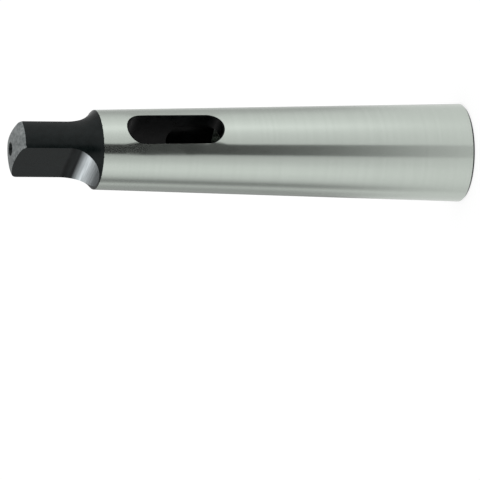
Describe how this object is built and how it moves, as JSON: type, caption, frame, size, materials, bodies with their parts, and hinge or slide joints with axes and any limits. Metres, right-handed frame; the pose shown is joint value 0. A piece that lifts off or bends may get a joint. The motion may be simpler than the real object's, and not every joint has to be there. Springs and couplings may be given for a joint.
{
  "type": "morse taper sleeve",
  "caption": "Standing steel reducing sleeve with a tapered shank and flat tang outside, a smaller tapered socket inside and a drift slot cut right through.",
  "frame": {"origin": "centre of the mouth face, which the sleeve stands on", "axes": "+Z along the axis from the mouth to the tang; the drift slot runs through along Y; the tang's flats face +X and -X"},
  "size_m": [0.0184, 0.0184, 0.0874],
  "materials": {
    "ground_steel": "taper ground bright round the circumference; tang, shoulder, slot and end left black from hardening"
  },
  "bodies": {
    "root": {"taper_sleeve": "ground_steel"}
  },
  "joints": []
}
